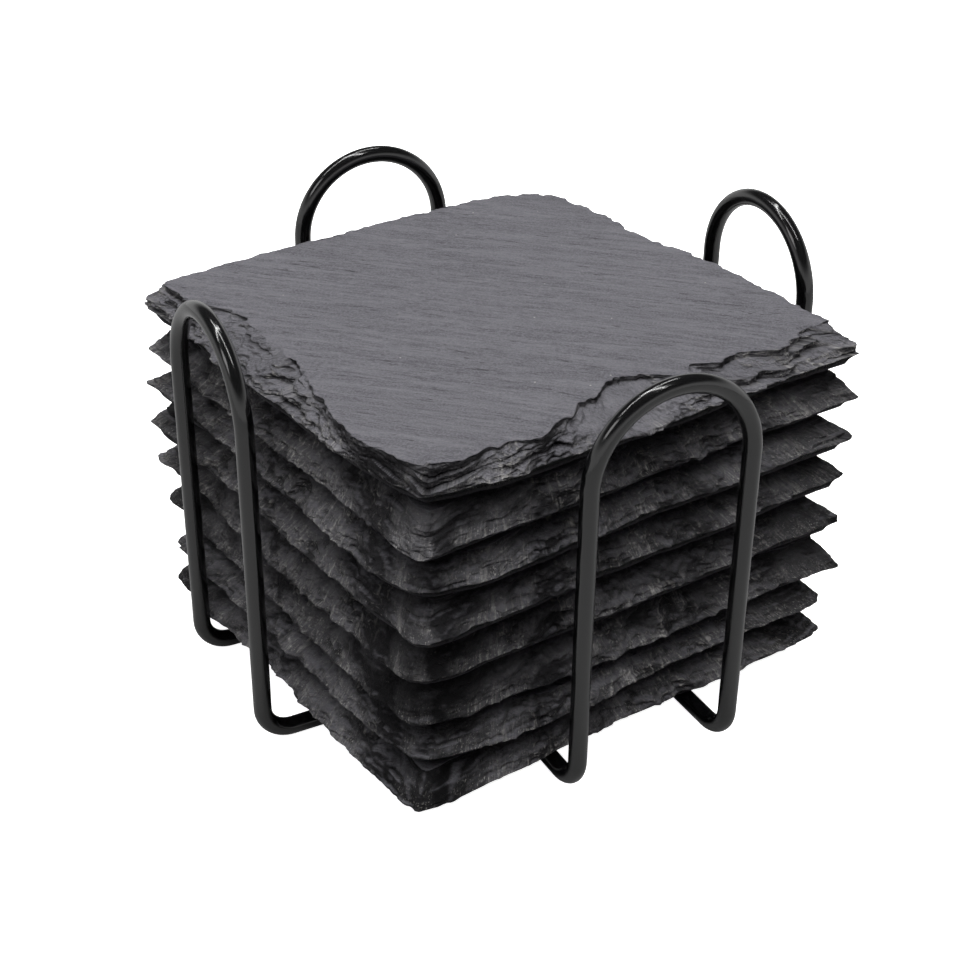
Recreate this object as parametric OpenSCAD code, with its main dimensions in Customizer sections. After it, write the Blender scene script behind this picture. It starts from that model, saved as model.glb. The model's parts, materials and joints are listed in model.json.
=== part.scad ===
// Eight square slate coasters stacked in a rack of two crossed wire loops.
// The origin is on the table, under the centre of the rack. The front of the rack faces -Y.

/* [Slate tiles] */
// Side of the largest tile, from lip to lip
tile_side = 102; // [92:1:112]
// Thickness of an average tile
tile_thick = 7; // [5:0.5:9]
// Width of the dressed slope along an average edge
slope_w = 6; // [4:0.5:7]
// How far the underside is set in from the lip
under_w = 1.5; // [0.5:0.1:2.5]
// Depth of the long waves in the lip
wave_depth = 0.8; // [0.2:0.1:1.2]
// Depth of the short nicks in the dressed edge
nick_depth = 0.7; // [0.2:0.1:1]

/* [Foam pads] */
// Diameter of a pad
pad_d = 10; // [6:0.5:12]
// Thickness of a pad
pad_thick = 2; // [1:0.25:3]
// Distance of a pad's centre from the sides of its tile
pad_inset = 13; // [12:0.5:14]

/* [Wire rack] */
// Diameter of the coated wire
wire_d = 3.5; // [3:0.1:4.5]
// Distance between the two legs of an arch, centre to centre
leg_gap = 33; // [26:1:34]
// Radius of the bend at the foot of a leg, to the wire's centre
foot_r = 6; // [4:0.5:9]
// Room between the wire and the largest tile, if that stood square in the rack
rack_room = 7.75; // [7.5:0.25:11]
// Height of the arches above the top tile
arch_rise = 10; // [5:1:20]
// How deep the crossing wires are pressed into each other where they are welded
weld_sink = 1; // [0.3:0.1:1.5]

/* [Stack] */
// Turn of the stack in the rack, in degrees
stack_turn = 7.5; // [0:0.5:8]
// Gap left under the lowest tile, where it lies on the round wires
seat_gap = 0.1; // [0.05:0.05:0.3]

/* [Hidden] */
// Tables below run from the top tile down to the lowest one.
// Thickness of each tile, as shares of the average
thick_shares = [1, 1.06, 0.91, 1.06, 1.11, 1.11, 0.77, 0.89];
// Height of each tile's lip above its underside, as shares of its own thickness
lip_shares = [0.36, 0.26, 0.39, 0.36, 0.3, 0.2, 0.26, 0.31];
// Length and width of each tile, as shares of the largest side
size_shares = [[0.995, 0.955], [1, 0.955], [0.995, 0.955], [1, 0.965],
               [1, 0.97], [1, 0.975], [0.98, 0.95], [1, 0.945]];
// Where each tile lies off the stack's middle, as shares of the room in the rack
shift_shares = [[0, -0.09], [0.09, -0.01], [-0.01, -0.13], [0.03, 0.04],
                [0.12, 0.18], [0.25, 0.23], [0.01, -0.09], [0.01, -0.17]];
// How far each tile is turned past the stack's own turn, as shares of that turn
turn_shares = [0.05, 0.04, -0.01, 0.04, -0.15, -0.2, 0.01, -0.04];
// Where the stack's middle lies off the rack's middle, as shares of the room in the rack
stack_shares = [-0.57, -0.41];
// Cut of each tile's corners, as shares of the side: front left, front right, back right, back left
chip_shares = [[0.04, 0.004, 0.045, 0.008], [0.01, 0.003, 0.03, 0.008], [0.03, 0.003, 0.012, 0.003],
               [0.014, 0.003, 0.035, 0.003], [0.024, 0.005, 0.02, 0.01], [0.027, 0.004, 0.015, 0.005],
               [0.04, 0.013, 0.03, 0.015], [0.013, 0.014, 0.02, 0.016]];
// Slope widths along the front, right, back and left of the top tile, as shares of the average
top_slope_shares = [[0.5, 0.47, 0.65, 0.5, 1.3, 1.75, 1.1, 1, 0.82, 1.2, 1.15],
                    [0.25, 0.22, 0.2, 0.1, 0.13, 0.3, 0.5, 0.62, 0.62, 0.6, 0.6],
                    [0.6, 0.5, 0.4, 0.27, 0.2, 0.25, 0.3, 0.33, 0.3, 0.3, 0.4],
                    [0.75, 0.75, 1.2, 1.55, 1.33, 1.33, 0.93, 0.57, 0.22, 0.55, 0.65]];
// Slope widths along the sides of the other tiles, as shares of the average
slope_shares = [[0.75, 0.9, 1.1, 0.8, 0.7, 1, 1.2, 0.95, 0.8, 0.9, 0.85],
                [0.8, 1.05, 0.85, 0.65, 0.9, 1.15, 0.9, 0.75, 1, 1.1, 0.9],
                [0.9, 0.7, 0.85, 1.15, 1, 0.75, 0.8, 1.1, 0.95, 0.75, 0.8]];
// Rings of a tile from the underside up: share of the way from lip to top, share of the slope's width
ring_shares = [[0.5, 0.4], [1, 1]];
// How far along a side a corner's cut reaches, in cuts
chip_reach_share = 5.5;
// Waves along one side
waves = 1.5;
// How the waves move on from one side to the next, and from one tile to the next, in degrees
side_phase = 130;
tile_phase = 77;
// Stretch of a side over which waves and nicks die out towards a corner, as a share of the side
fade_share = 0.08;
// Points along one side of a tile
side_points = 24;
// Seed of the row of nicks
nick_seed = 5;
// Extra height of a blank that is cut off flush
overrun = 0.3;

tile_count = len(thick_shares);
tile_half = tile_side / 2;
ring_points = 4 * side_points;
nick_shares = rands(0, 1, ring_points * tile_count, nick_seed);

wire_r = wire_d / 2;
leg_x = leg_gap / 2;
rack_half = tile_half + rack_room + wire_r;
lower_run_z = wire_r;
upper_run_z = lower_run_z + wire_d - weld_sink;
seat_z = upper_run_z + wire_r + seat_gap;
top_z = under_z(0) + thick(0);
arch_z = top_z + arch_rise - wire_r - leg_x;

corner_names = ["front_left", "front_right", "back_right", "back_left"];

$fn = 48;

function tile_name(i) = str("slate_tile_", i + 1);
function pad_name(i, c) = str("foam_pad_", i + 1, "_", corner_names[c]);

function thick(i) = tile_thick * thick_shares[i];
function lip_z(i) = thick(i) * lip_shares[i];
function under_z(i) = i == tile_count - 1 ? seat_z : under_z(i + 1) + thick(i + 1) + pad_thick;

// The value at u, from 0 to 1, on a smooth line through evenly spaced marks
function between(marks, u) =
    let (place = u * (len(marks) - 1), k = min(floor(place), len(marks) - 2), f = place - k,
         s = f * f * (3 - 2 * f))
    marks[k] * (1 - s) + marks[k + 1] * s;

// Width of tile i's slope at u along side s
function slope(i, s, u) =
    slope_w * between(i == 0 ? top_slope_shares[s] : slope_shares[(i + s) % len(slope_shares)], u);

// How far the lip wanders in from the straight side, with no wander at the corners
function wander(i, s, u) =
    let (fade = min(1, min(u, 1 - u) / fade_share), k = round(u * side_points) % side_points,
         wave = (1 + sin(360 * waves * u + side_phase * s + tile_phase * i)) / 2)
    fade * (wave_depth * wave + nick_depth * nick_shares[(i * 4 + s) * side_points + k]);

function inset(i, s, u, out, in) = out + in * slope(i, s, u);

// What a corner's cut takes at distance d from that corner
function chip_at(cut, d) = let (reach = cut * chip_reach_share) d < reach ? cut * (1 - d / reach) ^ 2 : 0;

// Length of side s of tile i, and how far that side lies from the tile's middle
function side(i, s) = tile_side * size_shares[i][s % 2];
function reach(i, s) = side(i, s + 1) / 2;

// A point at u along side s of tile i. The ring is set in by out, and by the share in of the slope.
function ring_point(i, s, u, out, in) =
    let (before = (s + 3) % 4, after = (s + 1) % 4, length = side(i, s),
         lead = inset(i, before, 1, out, in), trail = inset(i, after, 0, out, in),
         first = chip_at(chip_shares[i][s] * tile_side, u * length),
         last = chip_at(chip_shares[i][after] * tile_side, (1 - u) * length),
         x = lead + u * (length - lead - trail) + first - last,
         y = inset(i, s, u, out, in) + wander(i, s, u) + first + last)
    turned([x - length / 2, y - reach(i, s)], s * 90);

function turned(p, a) = [p.x * cos(a) - p.y * sin(a), p.x * sin(a) + p.y * cos(a)];

function ring(i, z, out, in) =
    [for (k = [0:ring_points - 1])
        let (s = floor(k / side_points), p = ring_point(i, s, (k % side_points) / side_points, out, in))
        [p.x, p.y, z]];

// Faces of a solid whose points lie in rings, one above the other
function ring_faces(rings) =
    let (n = ring_points)
    concat([[for (k = [0:n - 1]) k]],
           [for (r = [0:rings - 2], k = [0:n - 1])
               let (a = r * n + k, b = r * n + (k + 1) % n) [a, a + n, b + n, b]],
           [[for (k = [n - 1:-1:0]) (rings - 1) * n + k]]);

// Places what belongs to tile i, whose underside is at zero
module at_tile(i) {
    shift = stack_shares + shift_shares[i];
    translate([rack_room * shift.x, rack_room * shift.y, under_z(i)])
        rotate(stack_turn * (1 + turn_shares[i]))
            children();
}

// A split slate with a sharp lip low on its edge and a dressed slope above it
module slate_tile(i) {
    lip = lip_z(i);
    blank = thick(i) + overrun;
    rings = concat([ring(i, 0, under_w, 0), ring(i, lip, 0, 0)],
                   [for (r = ring_shares) ring(i, lip + (blank - lip) * r[0], 0, r[1])]);
    color("#5c5d63") at_tile(i) difference() {
        polyhedron([for (r = rings, p = r) p], ring_faces(len(rings)), convexity = 4);
        translate([-tile_half, -tile_half, thick(i)]) cube([tile_side, tile_side, 2 * overrun]);
    }
}

// A round foam pad stuck under corner c of tile i
module foam_pad(i, c) {
    place = [pad_inset - side(i, c) / 2, pad_inset - reach(i, c)];
    color("#2b2b2c") at_tile(i)
        rotate(c * 90) translate([place.x, place.y, -pad_thick]) cylinder(h = pad_thick, d = pad_d);
}

// One straight bottom wire of a loop that runs from front to back, on side x
module run(x, z) {
    translate([x, rack_half - foot_r, z]) rotate([90, 0, 0])
        cylinder(h = 2 * (rack_half - foot_r), d = wire_d);
}

// Wire bent through an angle, in the XY plane
module bend(radius, angle) {
    rotate_extrude(angle = angle) translate([radius, 0]) circle(d = wire_d);
}

// The upright half arch at one end and on one side of a loop, with the bend at its foot
module leg(x, z) {
    foot_z = z + foot_r;
    translate([x, rack_half, foot_z]) cylinder(h = arch_z - foot_z, d = wire_d);
    translate([x, rack_half - foot_r, foot_z]) rotate([0, 90, 0]) bend(foot_r, 90);
}

// A closed loop of wire: two bottom runs, four legs and an arch at each end
module wire_loop(z) {
    for (x = [-leg_x, leg_x]) run(x, z);
    for (end = [0, 180]) rotate(end) {
        for (x = [-leg_x, leg_x]) leg(x, z);
        translate([0, rack_half, arch_z]) rotate([90, 0, 0]) bend(leg_x, 180);
    }
}

// The loop with arches on the left and right, which lies on the table
module lower_wire_loop() {
    color("#1d1d1f") rotate(90) wire_loop(lower_run_z);
}

// The loop with arches at the front and back, welded over the lower one
module upper_wire_loop() {
    color("#1d1d1f") difference() {
        wire_loop(upper_run_z);
        rotate(90) for (x = [-leg_x, leg_x]) run(x, lower_run_z);
    }
}

lower_wire_loop();
upper_wire_loop();
for (i = [0:tile_count - 1]) {
    slate_tile(i);
    for (c = [0:3]) foam_pad(i, c);
}
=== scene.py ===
# Slate coasters in a black wire rack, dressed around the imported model.
import json
import math
from itertools import product
from types import SimpleNamespace

import bmesh
import bpy
import numpy as np
from mathutils import Matrix, Vector


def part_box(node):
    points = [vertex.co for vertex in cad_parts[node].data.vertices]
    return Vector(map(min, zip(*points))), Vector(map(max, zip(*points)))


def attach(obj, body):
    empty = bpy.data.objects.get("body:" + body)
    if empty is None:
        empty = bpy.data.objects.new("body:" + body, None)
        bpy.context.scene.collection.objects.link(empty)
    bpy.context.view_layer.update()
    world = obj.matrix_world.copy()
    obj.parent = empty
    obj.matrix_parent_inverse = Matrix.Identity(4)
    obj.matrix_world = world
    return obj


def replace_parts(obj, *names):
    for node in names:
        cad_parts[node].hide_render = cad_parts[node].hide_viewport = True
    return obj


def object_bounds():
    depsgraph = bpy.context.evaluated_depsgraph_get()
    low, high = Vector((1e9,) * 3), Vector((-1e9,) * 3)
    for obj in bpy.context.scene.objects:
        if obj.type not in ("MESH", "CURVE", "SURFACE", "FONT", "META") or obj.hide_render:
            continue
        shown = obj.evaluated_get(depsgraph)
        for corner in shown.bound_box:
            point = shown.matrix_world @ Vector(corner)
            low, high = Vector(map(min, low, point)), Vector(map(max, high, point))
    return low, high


mm = 0.001
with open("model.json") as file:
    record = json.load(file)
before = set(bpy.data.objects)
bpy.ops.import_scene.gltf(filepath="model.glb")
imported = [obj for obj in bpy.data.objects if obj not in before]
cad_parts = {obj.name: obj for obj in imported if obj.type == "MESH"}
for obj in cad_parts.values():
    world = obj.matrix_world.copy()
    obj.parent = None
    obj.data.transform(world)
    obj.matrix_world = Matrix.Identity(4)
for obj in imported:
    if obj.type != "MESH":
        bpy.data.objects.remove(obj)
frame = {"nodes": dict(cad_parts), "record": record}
cadLow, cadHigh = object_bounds()
print("frame loaded,", len(frame["nodes"]), "nodes")


def linear(code):  # sRGB hex to the linear colour that a shader takes
    parts = [int(code[i:i + 2], 16) / 255 for i in (1, 3, 5)]
    return tuple(p / 12.92 if p < 0.04045 else ((p + 0.055) / 1.055) ** 2.4 for p in parts) + (1,)


def feed(tree, node, inputs):  # values or the outputs of other nodes, by the input's name or number
    for name, value in inputs.items():
        if isinstance(value, bpy.types.NodeSocket):
            tree.links.new(value, node.inputs[name])
        else:
            node.inputs[name].default_value = value


def addNode(tree, kind, inputs=None, **settings):  # one node, its settings and what feeds it
    node = tree.nodes.new(kind)
    for name, value in settings.items():
        setattr(node, name, value)
    feed(tree, node, inputs or {})
    return node


def newMaterial(name):
    material = bpy.data.materials.new(name)
    material.use_nodes = True
    tree = material.node_tree
    shader = tree.nodes["Principled BSDF"]
    return material, tree, shader


def addObject(name, data):
    item = bpy.data.objects.new(name, data)
    bpy.context.scene.collection.objects.link(item)
    return item


def addPiece(name, bm, material, body):  # a finished mesh that rides on a CAD body
    mesh = bpy.data.meshes.new(name)
    bm.to_mesh(mesh)
    bm.free()
    mesh.polygons.foreach_set("use_smooth", [True] * len(mesh.polygons))
    mesh.materials.append(material)
    piece = addObject(name, mesh)
    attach(piece, body)
    return piece


# Camera: the photo's own view, found from the four wire arches.
cameraView = dict(
    eye=(-155.27, -279.71, 222.32),  # mm
    turn=-28.543,  # degrees from +Y towards +X
    tilt=30.744,  # degrees below the horizon
    roll=0.713,  # degrees
    lens=66.9,  # mm
    sensor=36,  # mm across
)


def addCamera():
    data = bpy.data.cameras.new("photoView")
    data.sensor_width = cameraView["sensor"]
    data.lens = cameraView["lens"]
    data.clip_start = 0.01
    camera = addObject("photoView", data)
    turn = Matrix.Rotation(math.radians(cameraView["turn"]), 4, "Z")
    tilt = Matrix.Rotation(math.radians(90 - cameraView["tilt"]), 4, "X")
    roll = Matrix.Rotation(math.radians(cameraView["roll"]), 4, "Z")
    camera.matrix_world = Matrix.Translation(Vector(cameraView["eye"]) * mm) @ turn @ tilt @ roll
    bpy.context.scene.camera = camera


addCamera()

# Studio: a white table, and soft light that comes mostly from overhead.
studio = dict(
    tableSize=1700,  # mm
    tableTone="#f0f0f0",
    tableGlow=1,  # own brightness to the camera, so that the table stays white close to the stack
    tableShade="#2a2a2a",  # what light the table throws back on the object
    tableShine="#a8a8a8",  # and what the coat of the wires reflects of it
    paperRoughness=0.9,
    paperGloss=0.1,
    keyFrom=(-0.08, -0.16, 1),  # the soft light overhead leans a little to the front
    keyEdge=(0.74, 0.95),  # how near to that direction it starts and is full
    keyLevel=3.3,
    ambient=0.01,  # light from the other surroundings
    horizonShine=0.8,  # what the coat reflects further off: a white horizon under a dark ceiling
    ceilingShine=0.06,
    shineEdge=(0.15, 0.5),  # heights on the unit dome between which the one turns into the other
    lights=[  # name, place in mm, aim in mm, width, height in mm, watts
        ("stripLeft", (-60, 260, 900), (0, 0, 60), 1100, 36, 2.7),
        ("stripRight", (60, 20, 950), (0, 0, 60), 1100, 36, 2.7),
        ("windowLeft", (-800, -150, 720), (0, 0, 40), 360, 360, 1.2),
    ],
)


def addTable():
    # matt white paper, lit so evenly that it burns out to white around the stack
    material, tree, shader = newMaterial("matt white paper")
    ray = addNode(tree, "ShaderNodeLightPath").outputs
    tones = {0: ray["Is Diffuse Ray"], 6: linear(studio["tableShine"]), 7: linear(studio["tableShade"])}
    paper = addNode(tree, "ShaderNodeMix", tones, data_type="RGBA").outputs[2]
    tones = {0: ray["Is Camera Ray"], 6: paper, 7: linear(studio["tableTone"])}
    paper = addNode(tree, "ShaderNodeMix", tones, data_type="RGBA").outputs[2]
    glow = {0: ray["Is Camera Ray"], 1: studio["tableGlow"]}
    glow = addNode(tree, "ShaderNodeMath", glow, operation="MULTIPLY").outputs[0]
    feed(tree, shader, {
        "Base Color": paper, "Emission Strength": glow, "Emission Color": (1, 1, 1, 1),
        "Roughness": studio["paperRoughness"], "Specular IOR Level": studio["paperGloss"],
    })
    bm = bmesh.new()
    bmesh.ops.create_grid(bm, x_segments=4, y_segments=4, size=studio["tableSize"] * mm / 2)
    mesh = bpy.data.meshes.new("whiteTable")
    bm.to_mesh(mesh)
    bm.free()
    mesh.materials.append(material)
    table = addObject("whiteTable", mesh)


def addSky():  # light from overhead, white to the camera, and a dark ceiling for the coat to reflect
    world = bpy.data.worlds.new("whiteStudio")
    world.use_nodes = True
    tree = world.node_tree
    aim = addNode(tree, "ShaderNodeTexCoord").outputs["Generated"]
    toKey = {0: aim, 1: Vector(studio["keyFrom"]).normalized()}
    toKey = addNode(tree, "ShaderNodeVectorMath", toKey, operation="DOT_PRODUCT").outputs["Value"]
    rise = addNode(tree, "ShaderNodeSeparateXYZ", {0: aim}).outputs["Z"]
    lit = {"Value": toKey, "To Min": studio["ambient"], "To Max": studio["keyLevel"]}
    lit.update({"From Min": studio["keyEdge"][0], "From Max": studio["keyEdge"][1]})
    lit = addNode(tree, "ShaderNodeMapRange", lit, interpolation_type="SMOOTHSTEP").outputs[0]
    shine = {"Value": rise, "To Min": studio["horizonShine"], "To Max": studio["ceilingShine"]}
    shine.update({"From Min": studio["shineEdge"][0], "From Max": studio["shineEdge"][1]})
    shine = addNode(tree, "ShaderNodeMapRange", shine, interpolation_type="SMOOTHSTEP").outputs[0]
    ray = addNode(tree, "ShaderNodeLightPath").outputs
    level = {0: ray["Is Diffuse Ray"], 2: shine, 3: lit}
    level = addNode(tree, "ShaderNodeMix", level, data_type="FLOAT").outputs[0]
    level = {0: ray["Is Camera Ray"], 2: level, 3: 1.0}
    level = addNode(tree, "ShaderNodeMix", level, data_type="FLOAT").outputs[0]
    feed(tree, tree.nodes["Background"], {"Strength": level, "Color": (1, 1, 1, 1)})
    bpy.context.scene.world = world


def addLight(name, place, aim, width, height, watts):
    data = bpy.data.lights.new(name, "AREA")
    data.shape = "RECTANGLE"
    data.size = width * mm
    data.size_y = height * mm
    data.energy = watts
    light = addObject(name, data)
    away = (Vector(place) - Vector(aim)).normalized()
    facing = away.to_track_quat("Z", "Y").to_matrix().to_4x4()
    light.matrix_world = Matrix.Translation(Vector(place) * mm) @ facing


addTable()
addSky()
for light in studio["lights"]:
    addLight(*light)
bpy.context.scene.view_settings.view_transform = "Standard"
print("camera and studio set")


# Noise on arrays of points. Each use adds a number of its own to the tile's seed, so that no two are alike.
def scramble(cells, seed):  # a number for each cell of a lattice, the same every run, mixed with large primes
    mixed = (cells[:, 0] * 73856093) ^ (cells[:, 1] * 19349663) ^ (cells[:, 2] * 83492791) ^ (seed * 97531)
    mixed = ((mixed ^ (mixed >> 13)) * 1274126177) & 0x7FFFFFFF
    return mixed ^ (mixed >> 15)


def smoothNoise(points, seed):  # -1 to 1, features about 1 unit wide
    cell = np.floor(points).astype(np.int64)
    part = points - cell
    part = part * part * (3 - 2 * part)
    total = np.zeros(len(points))
    for corner in product((0, 1), repeat=3):
        share = (scramble(cell + np.array(corner), seed) & 0xFFFF) / 0xFFFF
        total += np.prod(np.where(corner, part, 1 - part), axis=1) * share
    return 2 * total - 1


def roughNoise(points, size, octaves, seed):  # -1 to 1, from features of that size down to finer ones
    total, gain, reach = np.zeros(len(points)), 1.0, 0.0
    for octave in range(octaves):
        total += gain * smoothNoise(points / size * 2 ** octave, seed + octave)
        reach += gain
        gain *= 0.5
    return total / reach


# Where shards have come off, one to each cell of a lattice 1 unit wide.
shards = dict(
    unlike=0.8,  # how much they differ in depth
    lean=0.9,  # how steeply the hollows lean
    bowl=1.2,  # how much a hollow rises towards its rim
    depth=1.4,  # how deep they all are
    crestWidth=0.13,  # how nearly as deep two hollows are along the ridge between them
)


def shardNoise(points, seed):  # depth of scattered hollows that meet in crisp ridges, and 1 on a ridge
    base = np.floor(points).astype(np.int64)
    deepest = np.full(len(points), -99.0)
    second = deepest
    for step in product((-1, 0, 1), repeat=3):
        cell = base + np.array(step)
        mixed = scramble(cell, seed)
        middle = cell + np.stack([(mixed >> bits & 1023) / 1023 for bits in (0, 10, 20)], 1)
        lean = np.stack([(mixed >> bits & 255) / 127.5 - 1 for bits in (3, 9, 15)], 1)
        far = ((points - middle) ** 2).sum(1)
        own = shards["unlike"] * (mixed >> 5 & 1023) / 511.5 - 1
        own = own + shards["lean"] * (lean * (points - middle)).sum(1) - shards["bowl"] * far
        second = np.maximum(second, np.minimum(deepest, own))
        deepest = np.maximum(deepest, own)
    return shards["depth"] * deepest, np.exp(-((deepest - second) / shards["crestWidth"]) ** 2)


def easeStep(values, low, high):  # 0 at low and below, 1 at high and above, and smooth between
    part = np.clip((values - low) / (high - low), 0, 1)
    return part * part * (3 - 2 * part)


def spin(turn):  # turns rows of x and y by an angle
    c, s = math.cos(turn), math.sin(turn)
    return np.array([[c, s], [-s, c]])


# Slate tiles: split along the bed, then broken to a square with a dressing hammer. Lengths in mm.
slate = dict(
    tiles=8,
    seed=3,
    # the grid of a tile: cells along a side, and rows of them up its edge
    topCells=300,
    topRows=40,
    cells=280,
    rows=34,
    underRows=4,  # rows from the underside up to the lip
    steepest=0.55,  # how far the split face's outline may step from one point of the grid to the next
    evened=12,  # how often that is evened out, from each point to the next
    # beds: layers along which the stone parts
    bed=(0.4, 2.0),  # thinnest and thickest
    bedCount=16,
    bedStart=-5,  # height of the lowest above the lip
    bedTilt=(1.0, 19),  # how far a bed wanders up and down along the edge, and over what length
    bedRipple=(0.3, (5, 5, 9)),  # the same on a smaller scale
    bedLength=8,  # how far a ledge runs along the edge
    opened=-0.3,  # how many beds stand as ledges: more is more
    topOpened=0.2,  # how many more on the top tile
    crackWidth=0.16,
    crackDepth=0.9,
    # scars: shell-shaped marks of flakes struck off
    scars=1.1,  # to each mm of edge
    scarWidth=(0.7, 5),  # smallest and largest, from the middle to the rim
    scarDepth=(0.07, 0.22),  # as a share of the width
    scarRise=(0.6, 2.2),  # how much taller than wide
    # hollows that shards and smaller chips left: size and depth
    shard=(3.2, 3.2, 1.2),
    shardDepth=0.48,
    chip=(1.3, 1.3, 0.5),
    chipDepth=0.28,
    bend=2.5,  # size of the swirls by which scars, shards and grit are bent
    crestPatch=(6, 6, 4),  # size of the patches where ridges are painted pale, as worn stone and as painted highlight
    grit=(0.16, 1.4),  # roughness of the broken stone, and its size
    evenOut=0.35,  # how much all this is raised again, so that the tile keeps its size
    cliff=(0.8, 7),  # tallest upright break at the rim of the split face, and how often one comes
    # the lip
    hollowUnder=0.5,  # how far the break below it is hollowed out
    underBow=0.6,  # less makes that break steeper at the bottom
    lipBreak=0.1,  # share of the other breaks that shows in it
    overhang=0.4,  # how far the slope may lie in behind the outline of the split face
    jag=(0.7, 4.5),  # how far it wanders in and out, and over what length
    nick=(0.7, 1.9),  # depth and size of the nicks in it
    lipWander=(0.5, 11),  # height by which it wanders, and over what length
    narrowest=0.3,  # least width of the slope above it
    waistRoom=0.2,  # least width of the upper half of that slope
    fullBreak=3,  # width of the slope from which on it is broken at full depth
    leastBreak=0.3,  # share of that depth where the slope is narrow
    # corners of the lower tiles
    cornerCut=(0, 0.8),  # how much is knocked off
    cleanBreak=(0.4, 0.8),  # how much smoother they broke than the sides
    cleanReach=(19, 6),  # how far from the corner that ends, and how far it is in full
    cornerShade=(0.1, 1.2),  # painted shade: how much darker they are painted, as they lie in shade, on the top tile and on the lowest
    # the split face
    faceRelief=0.07,
    streak=(12, 1.2),  # length and width
    swell=(30, 14),
    plucks=14,  # thin flakes lifted off at its rim
    pluck=[(1.5, 5), (0.8, 2.5), (0.1, 0.3)],  # least and greatest half length, width and drop
    grainTurn=-42,  # degrees, the way it is streaked
    level=[(0.6, 0.9), (0.8, 0.97)],  # how level a ledge is where it looks split: the top tile, the others
    # what is pale or dark: worn stone, painted highlight and painted shade
    raised=(0.05, 0.6),  # height at which raised stone starts to be painted pale, as worn stone and painted highlight, and is so in full
    lipBruiseAndHighlight=(0.6, 0.7),  # how pale the lip is painted, as worn stone and painted highlight, and up to what height
    lowered=(0.05, 0.7),  # depth at which deeper stone starts to take painted shade, and takes it in full
    sunkShade=0.6,  # how dark that painted shade is
    darkest=0.85,  # most painted shade that any place takes; the break below the lip takes it in full, as painted shadow
    scuffPale=1.5,
    scuffs=[  # pale marks: tile, place along the edge, height above the lip, size
        (2, -0.5, 2.8, 0.6), (6, -1.6, 2, 0.6), (3, -24, 1.6, 5), (5, 9, 1.5, 2), (3, 38, 1.5, 3),
    ],
)

# The top tile's edge, from its near corner: to the right the place is positive, to the left negative. In mm.
topEdge = dict(
    reach=[  # place, how far the split face goes out past the solid's
        (-95, 0), (-87, 1.8), (-83, -2), (-74, 0), (-50, -0.3), (-35, 0.5), (-24, 0.4), (-19, 1.4), (-8, 2.6),
        (0, 1.2), (8, 1.9), (13, -0.3), (19, 0), (25, 1.6), (29, -0.8), (37, -1.4), (45, -2), (55, -2.3),
        (59, -0.7), (63, -0.2), (67, -2.8), (71, 0.2), (76, -1.4), (80, -1.6), (84, 2.4), (89, 1.2), (98, -1),
    ],
    cliffs=[  # from, to, height
        (-13, 8, 1.2), (8, 24, 0.5), (25, 58, 0.9), (65, 84, 1), (84, 99, 0.7), (-22, -14, 0.7),
        (-90, -78, 0.8),
    ],
    ledges=(-16, 9),  # from, to: where thick beds stand out one above the other
    ledgeCalm=0.6,  # how much less else the stone is broken there
    beds=(-8, -4.5, -1.5, 0.6, 2.2, 3.7, 5.6, 8, 11),  # heights above the lip at which they part
    dip=[(-24, 0), (-15, -1.4), (1, 1.1), (9, 0.3), (22, 0)],  # place, how far the beds dip there
    plucks=[  # place, half length, width, drop
        (-74, 8, 4, 0.3), (-59, 5, 4, 0.35), (-47, 4, 3, 0.3), (93, 7, 4, 0.3),
    ],
)


def tileOutlines(node):  # the tile's outline at each of its four heights, read from the CAD node
    points = np.array([v.co for v in node.data.vertices]) / mm
    heights = np.unique(np.round(points[:, 2], 2))
    rings = [points[abs(points[:, 2] - z) < 0.02][:, :2] for z in heights]
    # the stack's turn in degrees: the one that makes the smallest box round the lip
    best = None
    for turn in np.arange(0, 20, 0.25):
        turned = rings[1] @ spin(-math.radians(turn))
        low, high = turned.min(0), turned.max(0)
        area = np.prod(high - low)
        if best is None or area < best[0]:
            best = area, turn, (low + high) / 2, (high - low) / 2
    area, turn, middle, half = best
    middle = spin(-math.radians(turn)) @ middle
    outlines = []
    for ring in rings:
        ring = ring - middle
        angle = np.round(np.arctan2(ring[:, 1], ring[:, 0]), 4)
        angle, first = np.unique(angle, return_index=True)
        outlines.append((angle, np.hypot(*ring[first].T)))
    return dict(heights=heights, turn=math.radians(turn), middle=middle, half=half, outlines=outlines)


def layGrid(mesh, shape, cells):  # where each point of the flat grid goes round the tile
    flat = np.empty(len(mesh.vertices) * 3)
    mesh.vertices.foreach_get("co", flat)
    flat = flat.reshape(-1, 3)[:, :2]
    out = np.maximum(np.abs(flat).max(1), 1e-9)
    row = np.rint((1 - out) * cells / 2).astype(int)  # 0 along the outside of the grid
    square = flat / out[:, None]  # the way to the point, as a place on the outside of the grid
    heading = square * shape["half"] @ spin(shape["turn"])
    angle = np.arctan2(heading[:, 1], heading[:, 0])
    # place along the edge, 0 at the near corner
    side = 2 * shape["half"].mean()
    onSide = [square[:, 1] <= -1 + 1e-6, square[:, 0] >= 1 - 1e-6, square[:, 1] >= 1 - 1e-6]
    sideway = [square[:, 0] + 1, square[:, 1] + 3, 5 - square[:, 0]]
    place = np.select(onSide, sideway, 7 - square[:, 1]) / 2 * side
    place = np.mod(place + 2 * side, 4 * side) - 2 * side
    return out, row, angle, place, side


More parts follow.
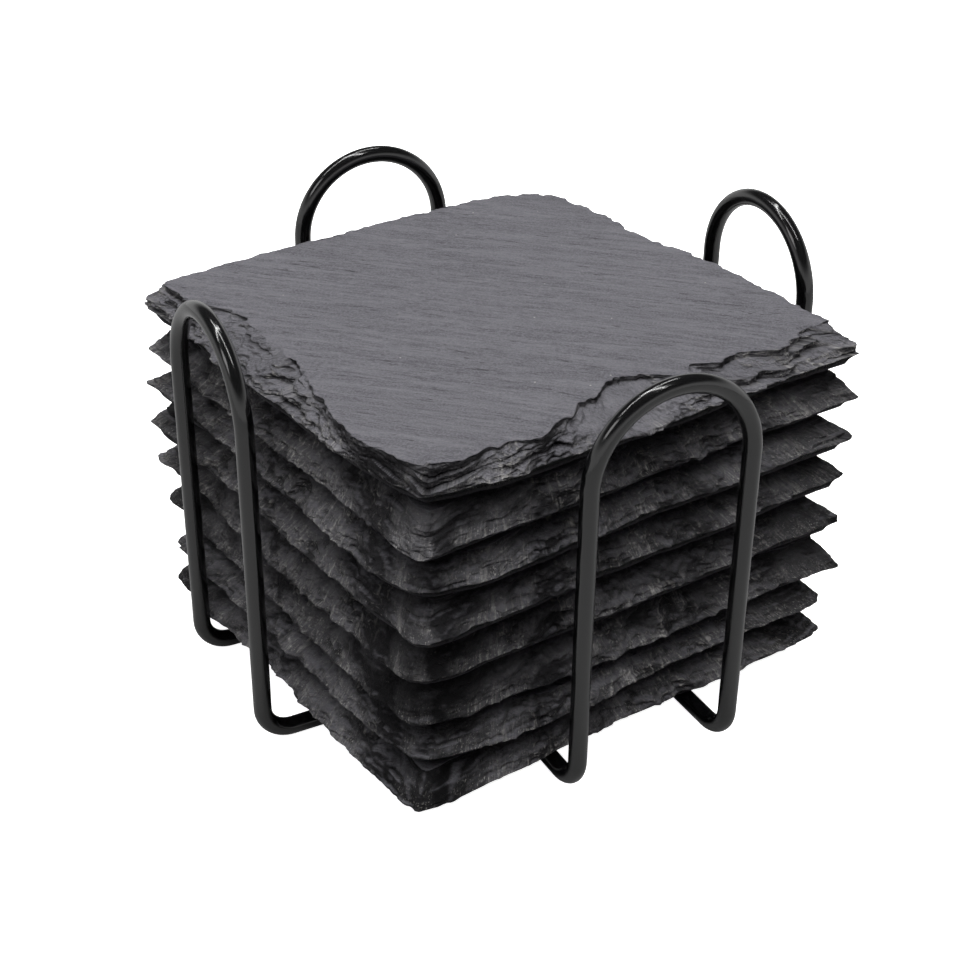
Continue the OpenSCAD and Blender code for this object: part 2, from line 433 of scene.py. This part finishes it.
def breakCorners(shape, angle, isTop, rng):  # the outlines with corners knocked off, and how clean they broke
    radii = [np.interp(angle, *outline, period=2 * math.pi) for outline in shape["outlines"]]
    clean = np.zeros(len(angle))
    for corner in product((-1, 1), repeat=2):
        away = corner * shape["half"] @ spin(shape["turn"])
        away = math.atan2(away[1], away[0])
        off = np.abs(np.mod(angle - away + math.pi, 2 * math.pi) - math.pi)
        reach = np.interp(away, *shape["outlines"][1], period=2 * math.pi) - rng.uniform(*slate["cornerCut"])
        knocked = np.where(off < 0.7, np.maximum(radii[1] - reach / np.cos(off), 0), 0) * (not isTop)
        radii = [radius - knocked for radius in radii]
        most = rng.uniform(*slate["cleanBreak"]) * (not isTop)
        clean = np.maximum(clean, most * easeStep(off * reach, *slate["cleanReach"]))
    return radii, clean


def followPhoto(edge):  # the top tile's edge, place by place; each stretch fades in and out over a few mm
    place = edge.place
    edge.face = edge.face + np.interp(place, *np.array(topEdge["reach"]).T)
    for start, end, tall in topEdge["cliffs"]:
        inside = easeStep(place, start - 1, start + 4) * easeStep(place, end + 2, end - 1)
        edge.cliff = np.maximum(edge.cliff, tall * inside)
    start, end = topEdge["ledges"]
    inside = easeStep(place, start - 4, start + 2) * easeStep(place, end + 4, end - 2)
    edge.opened = edge.opened + slate["topOpened"] + inside
    edge.calm = 1 - topEdge["ledgeCalm"] * inside
    edge.beds = np.array(topEdge["beds"])
    edge.dip = np.interp(place, *np.array(topEdge["dip"]).T)


def breakEdge(edge, height, around, rng):  # how far in from the lip the stone lies at a share of its height
    seed, calm, opened, upward = edge.seed, edge.calm, edge.opened, np.array([0, 0, 1.0])
    room = np.clip((edge.lip - edge.face) / slate["fullBreak"], slate["leastBreak"], 1)
    up = height * edge.rise
    spot = edge.rim + up[:, None] * upward
    bend = np.stack([smoothNoise(spot / slate["bend"], seed + k) for k in (4, 5, 6)], 1)

    # the bed that each point lies in, and ledges where beds stand open
    tilt, tiltLength = slate["bedTilt"]
    ripple, rippleSize = slate["bedRipple"]
    lift = up + edge.dip + tilt * smoothNoise(edge.rim / tiltLength, seed + 7)
    lift = lift + ripple * calm * smoothNoise(spot / rippleSize, seed + 8)
    bed = np.clip(np.searchsorted(edge.beds, lift), 1, len(edge.beds) - 1)
    thick = edge.beds[bed] - edge.beds[bed - 1]
    inBed = lift - edge.beds[bed - 1]
    own = edge.rim / slate["bedLength"] + bed[:, None] * upward * 7.3  # each bed breaks in its own way
    stands = easeStep(smoothNoise(own, seed + 9) + opened, 0.0, 0.4)
    level = np.clip(height + (thick / 2 - inBed) / edge.rise * stands, 0, 1)
    level = np.minimum(level / (1 - edge.cliff / edge.rise), 1)
    slope = np.minimum(level * 2, 1) * (edge.lip - edge.waist)
    slope = slope + np.maximum(level * 2 - 1, 0) * (edge.waist - edge.face)
    # a bed lies further in or out where it is open, and where little else is broken
    ledge = thick * smoothNoise(own * 2.1, seed + 10) * (0.1 + 0.4 * stands) * (1.6 - 0.6 * calm)
    # a crack runs along the bottom of a bed, wider where the stone broke clean
    crack = np.exp(-(inBed / slate["crackWidth"] * (0.4 + 0.6 * calm)) ** 2)
    crack = crack * easeStep(smoothNoise(own * 1.4, seed + 11) + opened, 0.0, 0.3)

    # what has come off it
    shard, crest = shardNoise((spot + bend) / slate["shard"], seed + 12)
    chip, chipCrest = shardNoise((spot + 0.4 * bend) / slate["chip"], seed + 13)
    grit, gritSize = slate["grit"]
    grit = grit * roughNoise(spot + 0.5 * bend, gritSize, 2, seed + 14)
    scar = scarDepths(edge.place + 0.5 * bend[:, 0], up + 0.4 * bend[:, 1], around, edge.rise, rng)
    large = ledge + (scar + slate["shardDepth"] * shard) * calm - slate["evenOut"]
    relief = large * room + (slate["chipDepth"] * chip + grit) * calm
    # ridges between recesses, later painted pale as worn stone and painted highlight
    crest = np.maximum(crest, 0.6 * chipCrest) * calm
    crest = crest * easeStep(smoothNoise(spot / slate["crestPatch"], seed + 15), -0.3, 0.5)
    return slope + relief + slate["crackDepth"] * crack * room, relief, crack, crest


def scarDepths(along, up, around, rise, rng):  # the deepest scar wins and leaves crisp ridges
    depth = np.zeros(len(along))
    small, large = slate["scarWidth"]
    for scar in range(int(around * slate["scars"])):
        middle = rng.uniform(0, around)
        tall = rng.uniform(-0.2, 1.1) * rise
        width = small * (large / small) ** rng.random()
        deepest = width * rng.uniform(*slate["scarDepth"])
        high = width * rng.uniform(*slate["scarRise"])
        off = np.mod(along - middle + around / 2, around) - around / 2
        near = np.abs(off) < width
        far = (off[near] / width) ** 2 + ((up[near] - tall) / high) ** 2
        depth[near] = np.maximum(depth[near], deepest * (1 - far))
    return depth


def splitOutline(angle, row, rimRow, lip, inward):  # the split face's, with no step steeper than the grid
    ring = np.flatnonzero(row == rimRow)
    ring = ring[np.argsort(angle[ring])]
    outline = lip[ring] - np.maximum(inward[ring], slate["narrowest"])
    for times in range(slate["evened"]):
        beside = np.minimum(np.roll(outline, 1), np.roll(outline, -1))
        outline = np.minimum(outline, beside + slate["steepest"])
    return np.interp(angle, angle[ring], outline, period=2 * math.pi)


def faceDrop(points, edge, fromRim, share, plucks):  # long low streaks, and thin flakes lifted off at the rim
    seed = edge.seed
    spun = points[:, :2] @ spin(-math.radians(slate["grainTurn"]))
    streak = np.column_stack([spun / slate["streak"], np.full(len(points), seed * 7.3)])
    swell = np.column_stack([spun / slate["swell"], np.full(len(points), seed * 3.1)])
    broad = smoothNoise(swell, seed + 19)
    split = 0.5 * roughNoise(streak, 1, 3, seed + 20) + 0.8 * broad
    split = split + np.floor(broad * 4 + 0.3 * smoothNoise(streak * 1.3, seed + 21)) * 0.5
    drop = slate["faceRelief"] * split * easeStep(1 - share, 0, 0.02)
    for middle, half, width, deep in plucks:
        off = (edge.place - middle) / half
        reach = width * np.sqrt(np.clip(1 - off ** 2, 0, 1)) + 0.3 * smoothNoise(points, seed + 22)
        drop = drop - deep * easeStep(reach - fromRim, 0, 0.45) * (np.abs(off) < 1)
    return drop


def markStone(mesh, number, edge, below, split):  # stores what the material reads at each point
    count = len(mesh.vertices)
    normals = np.empty(count * 3)
    mesh.vertex_normals.foreach_get("vector", normals)
    # broken across the beds or split along them
    broken = 1 - 0.9 * easeStep(normals[2::3], *slate["level"][number > 1])
    # pale where the stone is raised and along the lip, as worn stone and painted highlight; painted shade
    # where it lies deeper
    lipPale, lipTall = slate["lipBruiseAndHighlight"]
    bruisedAndHighlit = easeStep(-edge.relief, *slate["raised"]) + lipPale * np.exp(-(edge.up / lipTall) ** 2)
    for tile, middle, tall, size in slate["scuffs"]:
        if tile == number:
            far = ((edge.place - middle) ** 2 + (edge.up - tall) ** 2) / size ** 2
            bruisedAndHighlit = bruisedAndHighlit + slate["scuffPale"] * np.exp(-far)
    bruisedAndHighlit = bruisedAndHighlit * (1 - edge.crack)
    # painted shade in recesses and cracks
    paintedShade = slate["sunkShade"] * np.clip(easeStep(edge.relief, *slate["lowered"]) + edge.crack, 0, 1)
    # painted shade at the clean corners, darker on the lower tiles
    paintedShade = np.maximum(paintedShade, np.interp(number, (1, slate["tiles"]), slate["cornerShade"]) * edge.clean)
    # painted shadow: the break below the lip is coloured near black
    paintedShade = np.where(below, slate["darkest"], np.minimum(paintedShade, slate["darkest"]))
    marks = dict(dressed=np.ones(count), broken=broken, bruisedAndHighlit=bruisedAndHighlit, paintedShade=paintedShade, crest=edge.crest)
    for name, values in marks.items():
        values = np.where(split, 0, values).astype(np.float32)
        mesh.attributes.new(name, "FLOAT", "POINT").data.foreach_set("value", values)
    # a place that stays put up the slope
    edgePlace = edge.rim + edge.up[:, None] * np.array([0, 0, 1.0])
    edgePlace = edgePlace.astype(np.float32).ravel()
    mesh.attributes.new("edgePlace", "FLOAT_VECTOR", "POINT").data.foreach_set("vector", edgePlace)


# The outer rows of a flat grid make a tile's edge, and the rest its face.
def shapeTile(mesh, shape, number, cells, rows):
    isTop = number == 1
    seed = slate["seed"] + 40 * number
    rng = np.random.default_rng(seed)
    out, row, angle, place, side = layGrid(mesh, shape, cells)
    toward = np.stack([np.cos(angle), np.sin(angle)], 1)
    count = len(angle)
    zUnder, zLip, zFace = shape["heights"][[0, 1, 3]]
    edge = SimpleNamespace(place=place, rise=zFace - zLip, seed=seed, dip=0)
    (under, edge.lip, edge.waist, edge.face), edge.clean = breakCorners(shape, angle, isTop, rng)
    edge.rim = np.concatenate([toward * edge.lip[:, None], np.zeros((count, 1))], 1)
    tall, often = slate["cliff"]
    edge.cliff = tall * easeStep(smoothNoise(edge.rim / often, edge.seed), -0.1, 0.4)
    edge.opened = np.full(count, slate["opened"])
    edge.calm = 1 - edge.clean  # how broken the stone is besides its ledges
    if isTop:
        followPhoto(edge)
    else:
        edge.beds = np.cumsum(rng.uniform(*slate["bed"], slate["bedCount"])) + slate["bedStart"]
    edge.face = np.minimum(edge.face, edge.lip - slate["narrowest"])
    edge.waist = np.maximum(edge.waist, edge.face + slate["waistRoom"])

    # the slope above the lip, and the split face within it
    height = np.clip((row - slate["underRows"]) / rows, 0, 1)
    rimRow = slate["underRows"] + rows
    inner = row >= rimRow
    inward, edge.relief, edge.crack, edge.crest = breakEdge(edge, height, 4 * side, rng)
    outline = splitOutline(angle, row, rimRow, edge.lip, inward)
    inward = np.minimum(inward, edge.lip - outline + slate["overhang"] * (1 - height))
    deep, size = slate["nick"]
    nick = deep * np.clip(roughNoise(edge.rim, size, 3, edge.seed + 3), 0, 1)
    atLip = nick + slate["lipBreak"] * inward
    inward = np.where(height < 0.5 / rows, atLip, inward + nick * (1 - height) ** 2)
    wander, length = slate["jag"]
    jag = wander * roughNoise(edge.rim, length, 4, edge.seed + 2)
    wander, length = slate["lipWander"]
    lipZ = zLip + wander * roughNoise(edge.rim, length, 3, edge.seed + 17)
    z = lipZ + (zFace - lipZ) * height
    radius = edge.lip - inward + jag * (1 - height)
    share = np.clip(out / (1 - 2 * rimRow / cells), 0, 1)  # of the way from the middle to the rim
    radius = np.where(inner, outline * share, radius)
    z = np.where(inner, zFace, z)

    # the break below the lip
    below = row < slate["underRows"]
    step = row / slate["underRows"]
    inside = under - slate["hollowUnder"]
    radius = np.where(below, inside + (edge.lip + jag - nick - inside) * step, radius)
    z = np.where(below, zUnder + (lipZ - zUnder) * step ** slate["underBow"], z)

    points = np.concatenate([toward * radius[:, None], z[:, None]], 1)
    plucks = list(topEdge["plucks"]) if isTop else []
    for pluck in range(slate["plucks"]):
        middle = rng.uniform(-2, 2) * side
        plucks.append((middle, *[rng.uniform(*ends) for ends in slate["pluck"]]))
    drop = faceDrop(points, edge, outline * (1 - share), share, plucks)
    points[:, 2] += np.where(inner, drop, 0)
    points[:, :2] += shape["middle"]
    mesh.vertices.foreach_set("co", (points * mm).ravel())
    mesh.update()
    edge.up = z - lipZ
    markStone(mesh, number, edge, below, inner | (row == 0))  # the underside is a split face too
    return inner


def addTile(number, material):
    isTop = number == 1
    cells = slate["topCells"] if isTop else slate["cells"]
    rows = slate["topRows"] if isTop else slate["rows"]
    shape = tileOutlines(frame["nodes"][f"slate_tile_{number}"])
    bm = bmesh.new()
    bmesh.ops.create_grid(bm, x_segments=cells, y_segments=cells, size=1)
    mesh = bpy.data.meshes.new(f"splitSlate{number}")
    bm.to_mesh(mesh)
    bm.free()
    inner = shapeTile(mesh, shape, number, cells, rows)
    bm = bmesh.new()
    bm.from_mesh(mesh)
    bmesh.ops.holes_fill(bm, edges=[e for e in bm.edges if e.is_boundary], sides=0)
    for face in bm.faces:
        face.smooth = len(face.verts) == 4 and all(inner[v.index] for v in face.verts)
    bm.to_mesh(mesh)
    bm.free()
    mesh.materials.append(material)
    piece = addObject(f"split_slate_{number}", mesh)
    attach(piece, f"coaster_{number}")
    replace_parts(piece, f"slate_tile_{number}")


# What the slate looks like. Lengths in mm.
slateLook = dict(
    faceDark="#4e4d52", face="#626166", facePale="#78777c", dash="#262628", fleck="#b5b3af",
    # the last is the pale of worn stone, also painted on as highlight
    edge="#636265", edgeDark="#252426", edgeLight="#9b9a9b", crumb="#b9b8b8", bruiseAndHighlight="#d5d2cd",
    # the pale of painted glints, and the near black of painted shade and painted shadow
    glintFleck="#dcd9d2", shadeTone="#0c0c0d",
    roughness=0.7,
    gloss=0.08,
    # pattern, whether it follows the edge, kind, length, width and height of its features, detail, twist
    patterns=[
        ("streak", False, "FBM", (6, 0.6, 0.6), 5, 1),
        ("band", False, "FBM", (26, 2.6, 2.6), 4, 1),
        ("vein", False, "RIDGED_MULTIFRACTAL", (34, 7, 7), 2, 0.6),  # long thin lines where a bed parts
        ("dash", False, "FBM", (4, 0.5, 2), 3, 1),
        ("cloud", False, "FBM", (16, 9, 9), 4, 0.5),
        ("grit", False, "FBM", (0.4, 0.4, 0.4), 4, 0),
        ("fleck", False, "cells", (5, 5, 5), 0, 0),
        ("shade", True, "FBM", (12, 12, 6), 5, 0.6),  # fresh, darker breaks between rubbed ones
        ("lump", True, "RIDGED_MULTIFRACTAL", (3, 3, 2.2), 4, 0.8),  # scalloped flakes with crisp rims
        ("bedLine", True, "RIDGED_MULTIFRACTAL", (5, 5, 0.9), 5, 1),  # thin beds that show as lines
        ("crumb", True, "cells", (1.7, 1.7, 0.7), 3, 0),
        ("hackle", True, "FBM", (0.8, 0.8, 2.8), 5, 0.7),  # upright feathery marks of the hammer's blows
        # fine flecks for the painted glints
        ("glintFleck", True, "FBM", (0.3, 0.3, 0.3), 2, 0),
    ],
    # where each mark shows: the patterns it takes, and where each of them starts and is full
    marks=dict(
        feather=[("hackle", 0.5, 0.68), ("shade", 0.42, 0.6), ("height", 4, 0.3)],
        # pale raised stone and lip: worn stone and painted highlight
        rubbedAndHighlit=[("bruisedAndHighlit", 0, 1), ("crumb", 0.7, 0.2)],
        # pale ridges: worn stone and painted highlight
        crested=[("crest", 0.15, 0.9), ("hackle", 0.42, 0.62)],
        # painted glints: pale flecks near the lip where grains would catch the light
        paintedGlint=[("glintFleck", 0.6, 0.68), ("shade", 0.42, 0.6), ("height", 4, 0)],
        dashes=[("dash", 0.6, 0.68), ("cloud", 0.4, 0.56)],
        parting=[("vein", 1.2, 1.5), ("cloud", 0.4, 0.6)],
    ),
    # colours laid over each other: pattern, where it starts and is full, how strong, and its colour
    faceLayers=[
        ("streak", 0.35, 0.6, 1, "face"), ("band", 0.42, 0.62, 0.35, "facePale"),
        ("grit", 0.42, 0.66, 0.6, "facePale"), ("dashes", 0, 1, 0.7, "dash"), ("parting", 0, 1, 0.7, "dash"),
        ("fleck", 0.045, 0.03, 0.5, "fleck"),
    ],
    edgeLayers=[
        ("bedLine", 0.5, 1.3, 0.7, "edgeLight"), ("lump", 0.8, 1.5, 0.6, "crumb"),
        ("crumb", 0.45, 0.1, 0.4, "crumb"), ("shade", 0.58, 0.4, 0.9, "edgeDark"),
        # pale marks: worn stone, partly painted highlight on raised stone, ridges and the lip
        ("feather", 0, 1, 0.38, "bruiseAndHighlight"), ("rubbedAndHighlit", 0, 1, 0.5, "bruiseAndHighlight"), ("crested", 0, 1, 0.45, "bruiseAndHighlight"),
        # painted shade in recesses, cracks and clean corners, painted shadow below the lip, and painted
        # glints
        ("paintedShade", 0, 1, 1, "shadeTone"), ("paintedGlint", 0, 1, 0.5, "glintFleck"),
    ],
    # relief: pattern, whether only on the broken edge, and depth; below zero it is turned inside out
    relief=[
        ("band", False, 0.35), ("streak", False, 0.2), ("dash", False, 0.35), ("grit", False, 0.12),
        ("bedLine", True, 0.5), ("lump", True, 0.4), ("hackle", True, 0.2), ("crumb", True, -0.2),
    ],
)


def showPatterns(tree):  # what the mesh stores, and the patterns, by name
    coords = addNode(tree, "ShaderNodeTexCoord").outputs["Object"]
    edgePlace = addNode(tree, "ShaderNodeAttribute", attribute_name="edgePlace").outputs["Vector"]
    grain = (0, 0, math.radians(slate["grainTurn"]))
    seen = {"height": addNode(tree, "ShaderNodeSeparateXYZ", {0: edgePlace}).outputs["Z"]}
    for name in ("dressed", "broken", "bruisedAndHighlit", "paintedShade", "crest"):
        seen[name] = addNode(tree, "ShaderNodeAttribute", attribute_name=name).outputs["Fac"]
    for name, onEdge, kind, size, detail, twist in slateLook["patterns"]:
        if onEdge:
            way = {"Vector": edgePlace, "Scale": size}
        else:
            way = {"Vector": coords, "Scale": [s * mm for s in size], "Rotation": grain}
        laid = addNode(tree, "ShaderNodeMapping", way, vector_type="TEXTURE").outputs[0]
        pattern = {"Vector": laid, "Scale": 1, "Detail": detail, "Roughness": 0.6}
        if kind == "cells":
            seen[name] = addNode(tree, "ShaderNodeTexVoronoi", pattern).outputs["Distance"]
        else:
            pattern["Distortion"] = twist
            seen[name] = addNode(tree, "ShaderNodeTexNoise", pattern, noise_type=kind).outputs[0]
    return seen


def showMark(tree, seen, parts):  # only where all of its patterns do
    share = None
    for name, low, high in parts:
        ends = {"Value": seen[name], "From Min": low, "From Max": high}
        part = addNode(tree, "ShaderNodeMapRange", ends).outputs[0]
        if share:
            part = addNode(tree, "ShaderNodeMath", {0: share, 1: part}, operation="MULTIPLY").outputs[0]
        share = part
    return share


def layTones(tree, seen, start, layers):
    colour = linear(slateLook[start])
    for name, low, high, most, tone in layers:
        ends = {"Value": seen[name], "From Min": low, "From Max": high, "To Max": most}
        part = addNode(tree, "ShaderNodeMapRange", ends).outputs[0]
        mixed = {0: part, 6: colour, 7: linear(slateLook[tone])}
        colour = addNode(tree, "ShaderNodeMix", mixed, data_type="RGBA").outputs[2]
    return colour


def raiseRelief(tree, seen):
    normal = None
    for name, onEdge, depth in slateLook["relief"]:
        part = seen[name]
        if onEdge:
            kept = {0: part, 1: seen["dressed"]}
            part = addNode(tree, "ShaderNodeMath", kept, operation="MULTIPLY").outputs[0]
        bump = {"Height": part, "Distance": abs(depth) * mm, "Strength": 1}
        if normal:
            bump["Normal"] = normal
        normal = addNode(tree, "ShaderNodeBump", bump, invert=depth < 0).outputs[0]
    return normal


def slateMaterial():
    # split slate: a silky grey face in fine dark streaks; broken edges are darker, in thin beds, worn pale,
    # with painted highlight on raised stone, ridges and the lip, painted glints, and painted shade in
    # recesses, cracks, clean corners and below the lip
    material, tree, shader = newMaterial("split slate")
    seen = showPatterns(tree)
    for mark, parts in slateLook["marks"].items():
        seen[mark] = showMark(tree, seen, parts)
    face = layTones(tree, seen, "faceDark", slateLook["faceLayers"])
    edge = layTones(tree, seen, "edge", slateLook["edgeLayers"])
    mixed = {0: seen["broken"], 6: face, 7: edge}
    colour = addNode(tree, "ShaderNodeMix", mixed, data_type="RGBA").outputs[2]
    feed(tree, shader, {
        "Base Color": colour, "Normal": raiseRelief(tree, seen),
        "Roughness": slateLook["roughness"], "Specular IOR Level": slateLook["gloss"],
    })
    return material


splitSlate = slateMaterial()
for number in range(1, slate["tiles"] + 1):
    addTile(number, splitSlate)
print("slate tiles shaped")

# Wire rack: steel wire, bent and welded, under gloss black powder coat.
wire = dict(
    radius=1.75,  # mm
    footBend=6,  # mm, to the middle of the wire
    legHalfGap=16.5,  # mm, half the distance between an arch's legs
    lowRun=1.75,  # mm, height of the lower loop's bottom wires
    highRun=4.25,
    around=32,  # sides of the wire
    footSteps=14,  # straight pieces in a foot bend, and in half an arch
    archSteps=28,
    coat="#0a0a0b",
    roughness=0.15,
    refraction=1.5,
    gloss=0.8,
    peelWidth=1.4,  # mm, ripple of the coat
    peelDepth=0.05,  # mm
    peelStrength=0.25,
)


def wireMaterial():
    # powder coat: thick, even gloss with a faint orange peel that breaks up thin highlights
    material, tree, shader = newMaterial("gloss black powder coat")
    coords = addNode(tree, "ShaderNodeTexCoord").outputs["Object"]
    peel = {"Vector": coords, "Scale": 1 / (wire["peelWidth"] * mm), "Detail": 2}
    peel = addNode(tree, "ShaderNodeTexNoise", peel).outputs[0]
    peel = {"Height": peel, "Strength": wire["peelStrength"], "Distance": wire["peelDepth"] * mm}
    feed(tree, shader, {
        "Normal": addNode(tree, "ShaderNodeBump", peel).outputs[0], "Base Color": linear(wire["coat"]),
        "Roughness": wire["roughness"], "IOR": wire["refraction"], "Specular IOR Level": wire["gloss"],
    })
    return material


def addLoop(name, runHeight, turn, material):
    # a quarter of the loop, from the middle of a bottom wire to the top of an arch, is mirrored twice
    high = cadHigh / mm
    reach = high.x - wire["radius"]
    gap, foot = wire["legHalfGap"], wire["footBend"]
    archHeight = high.z - wire["radius"] - gap
    bm = bmesh.new()
    start = Matrix.Translation((0, -gap, runHeight)) @ Matrix.Rotation(math.pi / 2, 4, "Y")
    bmesh.ops.create_circle(bm, segments=wire["around"], radius=wire["radius"], matrix=start)
    edges = bm.edges[:]

    def pull(edges, step):
        grown = bmesh.ops.extrude_edge_only(bm, edges=edges)["geom"]
        bmesh.ops.translate(bm, vec=step, verts=[g for g in grown if isinstance(g, bmesh.types.BMVert)])
        return [g for g in grown if isinstance(g, bmesh.types.BMEdge)]

    def swing(edges, middle, axis, steps):
        grown = bmesh.ops.spin(bm, geom=edges, cent=middle, axis=axis, angle=math.pi / 2, steps=steps)
        return [g for g in grown["geom_last"] if isinstance(g, bmesh.types.BMEdge)]

    edges = pull(edges, (reach - foot, 0, 0))
    edges = swing(edges, (reach - foot, -gap, runHeight + foot), (0, -1, 0), wire["footSteps"])
    edges = pull(edges, (0, 0, archHeight - runHeight - foot))
    swing(edges, (reach, 0, archHeight), (-1, 0, 0), wire["archSteps"])
    for axis in ("Y", "X"):
        whole = bm.verts[:] + bm.edges[:] + bm.faces[:]
        bmesh.ops.mirror(bm, geom=whole, matrix=Matrix.Identity(4), axis=axis, merge_dist=0)
        bmesh.ops.remove_doubles(bm, verts=bm.verts, dist=0.001)
    bmesh.ops.recalc_face_normals(bm, faces=bm.faces)
    bmesh.ops.rotate(bm, verts=bm.verts, cent=(0, 0, 0), matrix=Matrix.Rotation(math.radians(turn), 3, "Z"))
    bmesh.ops.scale(bm, verts=bm.verts, vec=(mm, mm, mm))
    return addPiece(name, bm, material, "rack")


powderCoat = wireMaterial()
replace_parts(addLoop("side_wire_loop", wire["lowRun"], 0, powderCoat), "lower_wire_loop")
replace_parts(addLoop("front_wire_loop", wire["highRun"], 90, powderCoat), "upper_wire_loop")
print("wire rack swept")

# Foam pads: die-cut EVA foam, stuck on.
pad = dict(
    cutEdge=0.3,  # mm, rounding of the cut edges
    around=40,  # sides
    tone="#1e1e20",
    roughness=0.95,
    gloss=0.2,
    poreWidth=0.35,  # mm
    poreDepth=0.08,  # mm
    poreStrength=0.5,
)


def padMaterial():
    # closed-cell foam: dull, nearly black, with a fine pitted skin
    material, tree, shader = newMaterial("black EVA foam")
    coords = addNode(tree, "ShaderNodeTexCoord").outputs["Object"]
    pores = {"Vector": coords, "Scale": 1 / (pad["poreWidth"] * mm)}
    pores = addNode(tree, "ShaderNodeTexVoronoi", pores).outputs["Distance"]
    pores = {"Height": pores, "Strength": pad["poreStrength"], "Distance": pad["poreDepth"] * mm}
    feed(tree, shader, {
        "Normal": addNode(tree, "ShaderNodeBump", pores).outputs[0], "Base Color": linear(pad["tone"]),
        "Roughness": pad["roughness"], "Specular IOR Level": pad["gloss"],
    })
    return material


def addPad(name, body, material):
    low, high = (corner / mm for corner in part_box(name))
    bm = bmesh.new()
    radius = (high.x - low.x) / 2
    middle = Matrix.Translation((low + high) / 2)
    bmesh.ops.create_cone(bm, cap_ends=True, segments=pad["around"], radius1=radius, radius2=radius,
                          depth=high.z - low.z, matrix=middle)
    rims = [e for e in bm.edges if abs(e.verts[0].co.z - e.verts[1].co.z) < 0.01]
    bmesh.ops.bevel(bm, geom=rims, offset=pad["cutEdge"], segments=3, profile=0.5, affect="EDGES",
                    material=-1)
    bmesh.ops.scale(bm, verts=bm.verts, vec=(mm, mm, mm))
    piece = addPiece(name.replace("foam_pad", "pad"), bm, material, body)
    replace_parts(piece, name)


evaFoam = padMaterial()
for body, nodes in frame["record"]["behaviour"]["bodies"].items():
    for name in nodes:
        if name.startswith("foam_pad"):
            addPad(name, body, evaFoam)
print("foam pads cut")
